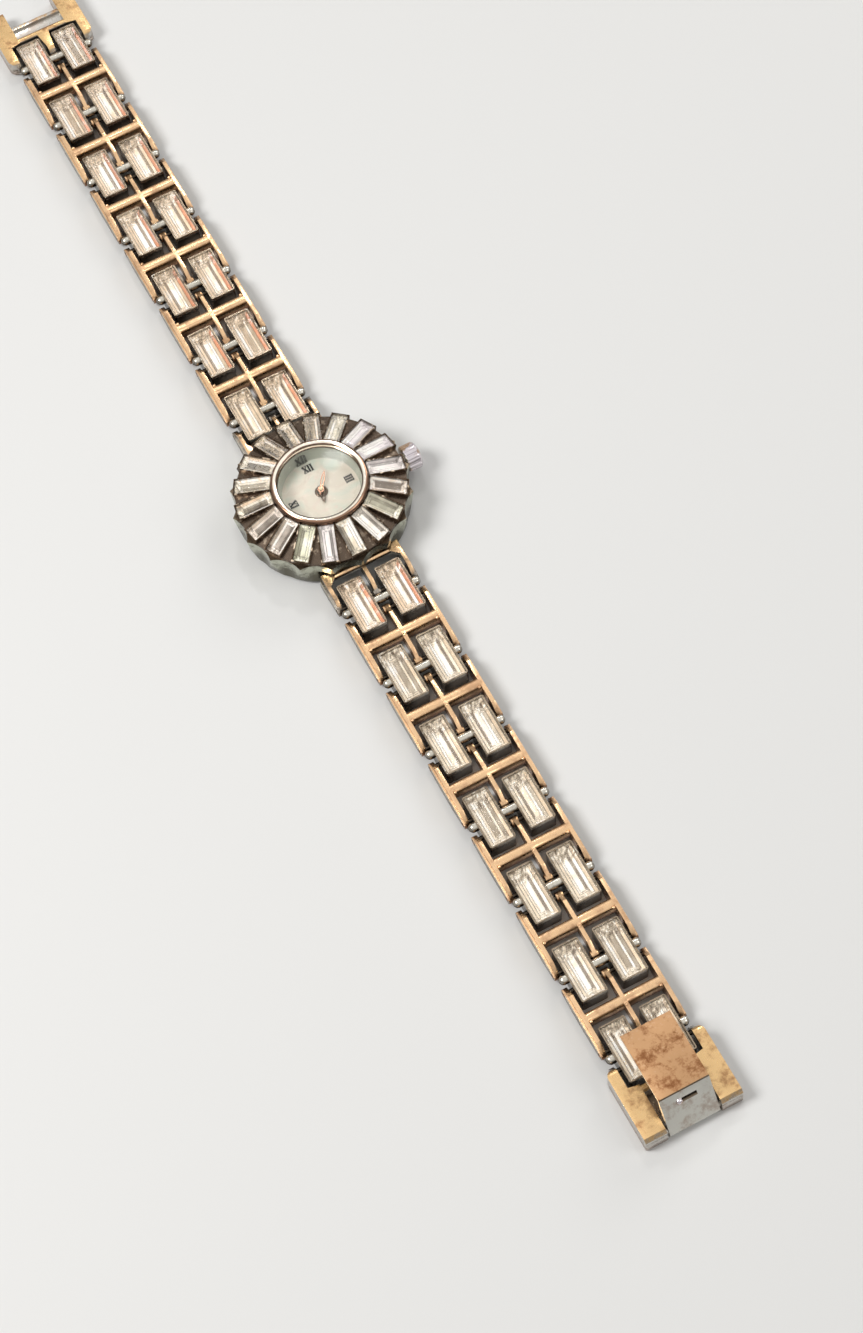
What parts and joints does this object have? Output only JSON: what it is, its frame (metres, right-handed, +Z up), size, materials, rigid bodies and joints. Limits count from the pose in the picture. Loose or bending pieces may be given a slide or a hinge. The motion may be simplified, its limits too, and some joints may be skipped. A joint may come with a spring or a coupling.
{
  "type": "cocktail watch",
  "caption": "Round quartz watch head in a ring of radial baguettes, on a hinged bracelet of open frames and paired baguette cups with a folding clasp.",
  "frame": {"origin": "centre of the case back's flat underside", "axes": "+X across the bracelet towards the crown at three o'clock, +Y along the bracelet towards twelve o'clock, +Z up out of the dial"},
  "size_m": [0.0248, 0.1856, 0.0071],
  "materials": {
    "gold_plate": "worn champagne gilding",
    "silver_plate": "silver plating, polished and a little tarnished",
    "case_silver": "silver plating, polished",
    "steel": "brushed",
    "clear_stone": "polished cut glass",
    "crystal_glass": "polished",
    "dial_pearl": "mother-of-pearl",
    "hand_gilt": "polished",
    "seal": "matte",
    "movement_metal": "satin",
    "lever_metal": "worn brown gilding over a silver front"
  },
  "bodies": {
    "head": {"case_body": "case_silver", "case_back": "steel", "back_gasket": "seal", "stone_setting": "case_silver", "bezel_stones": "clear_stone", "bezel_ring": "silver_plate", "crystal": "crystal_glass", "dial": "dial_pearl", "movement": "movement_metal", "battery": "steel", "lug_bars": "steel"},
    "hour": {"hour_hand": "hand_gilt"},
    "minute": {"minute_hand": "hand_gilt"},
    "winding_stem": {"stem": "steel"},
    "winding_crown": {"crown": "silver_plate"},
    "end_twelve": {"end_piece_twelve": "gold_plate"},
    "cups_twelve_1": {"link_twelve_1": "silver_plate", "stones_twelve_1": "clear_stone"},
    "rails_twelve_1": {"frame_twelve_1": "gold_plate"},
    "cups_twelve_2": {"link_twelve_2": "silver_plate", "stones_twelve_2": "clear_stone"},
    "rails_twelve_2": {"frame_twelve_2": "gold_plate"},
    "cups_twelve_3": {"link_twelve_3": "silver_plate", "stones_twelve_3": "clear_stone"},
    "rails_twelve_3": {"frame_twelve_3": "gold_plate"},
    "cups_twelve_4": {"link_twelve_4": "silver_plate", "stones_twelve_4": "clear_stone"},
    "rails_twelve_4": {"frame_twelve_4": "gold_plate"},
    "cups_twelve_5": {"link_twelve_5": "silver_plate", "stones_twelve_5": "clear_stone"},
    "rails_twelve_5": {"frame_twelve_5": "gold_plate"},
    "cups_twelve_6": {"link_twelve_6": "silver_plate", "stones_twelve_6": "clear_stone"},
    "rails_twelve_6": {"frame_twelve_6": "gold_plate"},
    "cups_twelve_7": {"link_twelve_7": "silver_plate", "stones_twelve_7": "clear_stone"},
    "catch": {"clasp_catch": "gold_plate"},
    "end_six": {"end_piece_six": "gold_plate"},
    "cups_six_1": {"link_six_1": "silver_plate", "stones_six_1": "clear_stone"},
    "rails_six_1": {"frame_six_1": "gold_plate"},
    "cups_six_2": {"link_six_2": "silver_plate", "stones_six_2": "clear_stone"},
    "rails_six_2": {"frame_six_2": "gold_plate"},
    "cups_six_3": {"link_six_3": "silver_plate", "stones_six_3": "clear_stone"},
    "rails_six_3": {"frame_six_3": "gold_plate"},
    "cups_six_4": {"link_six_4": "silver_plate", "stones_six_4": "clear_stone"},
    "rails_six_4": {"frame_six_4": "gold_plate"},
    "cups_six_5": {"link_six_5": "silver_plate", "stones_six_5": "clear_stone"},
    "rails_six_5": {"frame_six_5": "gold_plate"},
    "cups_six_6": {"link_six_6": "silver_plate", "stones_six_6": "clear_stone"},
    "rails_six_6": {"frame_six_6": "gold_plate"},
    "cups_six_7": {"link_six_7": "silver_plate", "stones_six_7": "clear_stone"},
    "clasp": {"clasp_frame": "gold_plate"},
    "lever": {"clasp_lever": "lever_metal"}
  },
  "joints": [
    {"name": "end_twelve_hinge", "type": "hinge", "parent": "head", "child": "end_twelve", "pos_m": [0, 0.00995, 0.0013], "axis": [-1, 0, 0], "range_deg": [-5, 11]},
    {"name": "cups_twelve_1_hinge", "type": "hinge", "parent": "end_twelve", "child": "cups_twelve_1", "pos_m": [0, 0.01465, 0.0011], "axis": [-1, 0, 0], "range_deg": [-5, 11]},
    {"name": "rails_twelve_1_hinge", "type": "hinge", "parent": "cups_twelve_1", "child": "rails_twelve_1", "pos_m": [0, 0.01725, 0.0011], "axis": [-1, 0, 0], "range_deg": [-5, 11]},
    {"name": "cups_twelve_2_hinge", "type": "hinge", "parent": "rails_twelve_1", "child": "cups_twelve_2", "pos_m": [0, 0.02565, 0.0011], "axis": [-1, 0, 0], "range_deg": [-5, 11]},
    {"name": "rails_twelve_2_hinge", "type": "hinge", "parent": "cups_twelve_2", "child": "rails_twelve_2", "pos_m": [0, 0.02825, 0.0011], "axis": [-1, 0, 0], "range_deg": [-5, 11]},
    {"name": "cups_twelve_3_hinge", "type": "hinge", "parent": "rails_twelve_2", "child": "cups_twelve_3", "pos_m": [0, 0.03665, 0.0011], "axis": [-1, 0, 0], "range_deg": [-5, 11]},
    {"name": "rails_twelve_3_hinge", "type": "hinge", "parent": "cups_twelve_3", "child": "rails_twelve_3", "pos_m": [0, 0.03925, 0.0011], "axis": [-1, 0, 0], "range_deg": [-5, 11]},
    {"name": "cups_twelve_4_hinge", "type": "hinge", "parent": "rails_twelve_3", "child": "cups_twelve_4", "pos_m": [0, 0.04765, 0.0011], "axis": [-1, 0, 0], "range_deg": [-5, 11]},
    {"name": "rails_twelve_4_hinge", "type": "hinge", "parent": "cups_twelve_4", "child": "rails_twelve_4", "pos_m": [0, 0.05025, 0.0011], "axis": [-1, 0, 0], "range_deg": [-5, 11]},
    {"name": "cups_twelve_5_hinge", "type": "hinge", "parent": "rails_twelve_4", "child": "cups_twelve_5", "pos_m": [0, 0.05865, 0.0011], "axis": [-1, 0, 0], "range_deg": [-5, 11]},
    {"name": "rails_twelve_5_hinge", "type": "hinge", "parent": "cups_twelve_5", "child": "rails_twelve_5", "pos_m": [0, 0.06125, 0.0011], "axis": [-1, 0, 0], "range_deg": [-5, 11]},
    {"name": "cups_twelve_6_hinge", "type": "hinge", "parent": "rails_twelve_5", "child": "cups_twelve_6", "pos_m": [0, 0.06965, 0.0011], "axis": [-1, 0, 0], "range_deg": [-5, 11]},
    {"name": "rails_twelve_6_hinge", "type": "hinge", "parent": "cups_twelve_6", "child": "rails_twelve_6", "pos_m": [0, 0.07225, 0.0011], "axis": [-1, 0, 0], "range_deg": [-5, 11]},
    {"name": "cups_twelve_7_hinge", "type": "hinge", "parent": "rails_twelve_6", "child": "cups_twelve_7", "pos_m": [0, 0.08065, 0.0011], "axis": [-1, 0, 0], "range_deg": [-5, 11]},
    {"name": "catch_hinge", "type": "hinge", "parent": "cups_twelve_7", "child": "catch", "pos_m": [0, 0.08325, 0.0011], "axis": [-1, 0, 0], "range_deg": [-5, 11]},
    {"name": "end_six_hinge", "type": "hinge", "parent": "head", "child": "end_six", "pos_m": [0, -0.00995, 0.0013], "axis": [1, 0, 0], "range_deg": [-5, 11]},
    {"name": "cups_six_1_hinge", "type": "hinge", "parent": "end_six", "child": "cups_six_1", "pos_m": [0, -0.01465, 0.0011], "axis": [1, 0, 0], "range_deg": [-5, 11]},
    {"name": "rails_six_1_hinge", "type": "hinge", "parent": "cups_six_1", "child": "rails_six_1", "pos_m": [0, -0.01725, 0.0011], "axis": [1, 0, 0], "range_deg": [-5, 11]},
    {"name": "cups_six_2_hinge", "type": "hinge", "parent": "rails_six_1", "child": "cups_six_2", "pos_m": [0, -0.02565, 0.0011], "axis": [1, 0, 0], "range_deg": [-5, 11]},
    {"name": "rails_six_2_hinge", "type": "hinge", "parent": "cups_six_2", "child": "rails_six_2", "pos_m": [0, -0.02825, 0.0011], "axis": [1, 0, 0], "range_deg": [-5, 11]},
    {"name": "cups_six_3_hinge", "type": "hinge", "parent": "rails_six_2", "child": "cups_six_3", "pos_m": [0, -0.03665, 0.0011], "axis": [1, 0, 0], "range_deg": [-5, 11]},
    {"name": "rails_six_3_hinge", "type": "hinge", "parent": "cups_six_3", "child": "rails_six_3", "pos_m": [0, -0.03925, 0.0011], "axis": [1, 0, 0], "range_deg": [-5, 11]},
    {"name": "cups_six_4_hinge", "type": "hinge", "parent": "rails_six_3", "child": "cups_six_4", "pos_m": [0, -0.04765, 0.0011], "axis": [1, 0, 0], "range_deg": [-5, 11]},
    {"name": "rails_six_4_hinge", "type": "hinge", "parent": "cups_six_4", "child": "rails_six_4", "pos_m": [0, -0.05025, 0.0011], "axis": [1, 0, 0], "range_deg": [-5, 11]},
    {"name": "cups_six_5_hinge", "type": "hinge", "parent": "rails_six_4", "child": "cups_six_5", "pos_m": [0, -0.05865, 0.0011], "axis": [1, 0, 0], "range_deg": [-5, 11]},
    {"name": "rails_six_5_hinge", "type": "hinge", "parent": "cups_six_5", "child": "rails_six_5", "pos_m": [0, -0.06125, 0.0011], "axis": [1, 0, 0], "range_deg": [-5, 11]},
    {"name": "cups_six_6_hinge", "type": "hinge", "parent": "rails_six_5", "child": "cups_six_6", "pos_m": [0, -0.06965, 0.0011], "axis": [1, 0, 0], "range_deg": [-5, 11]},
    {"name": "rails_six_6_hinge", "type": "hinge", "parent": "cups_six_6", "child": "rails_six_6", "pos_m": [0, -0.07225, 0.0011], "axis": [1, 0, 0], "range_deg": [-5, 11]},
    {"name": "cups_six_7_hinge", "type": "hinge", "parent": "rails_six_6", "child": "cups_six_7", "pos_m": [0, -0.08065, 0.0011], "axis": [1, 0, 0], "range_deg": [-5, 11]},
    {"name": "clasp_hinge", "type": "hinge", "parent": "cups_six_7", "child": "clasp", "pos_m": [0, -0.08325, 0.0011], "axis": [1, 0, 0], "range_deg": [-5, 11]},
    {"name": "lever_hinge", "type": "hinge", "parent": "clasp", "child": "lever", "pos_m": [0, -0.0921, 0.001], "axis": [1, 0, 0], "range_deg": [0, 120]},
    {"name": "minute_turn", "type": "hinge", "parent": "head", "child": "minute", "pos_m": [0, 0, 0.00473], "axis": [0, 0, -1], "continuous": true},
    {"name": "hour_turn", "type": "hinge", "parent": "head", "child": "hour", "pos_m": [0, 0, 0.00445], "axis": [0, 0, -1], "continuous": true},
    {"name": "crown_pull", "type": "slide", "parent": "head", "child": "winding_stem", "axis": [1, 0, 0], "range_m": [0, 0.0006]},
    {"name": "crown_turn", "type": "hinge", "parent": "winding_stem", "child": "winding_crown", "pos_m": [0.0122, 0, 0.0024], "axis": [1, 0, 0], "continuous": true}
  ],
  "couplings": [
    {"joint": "hour_turn", "follows": "minute_turn", "ratio": 0.083333}
  ]
}
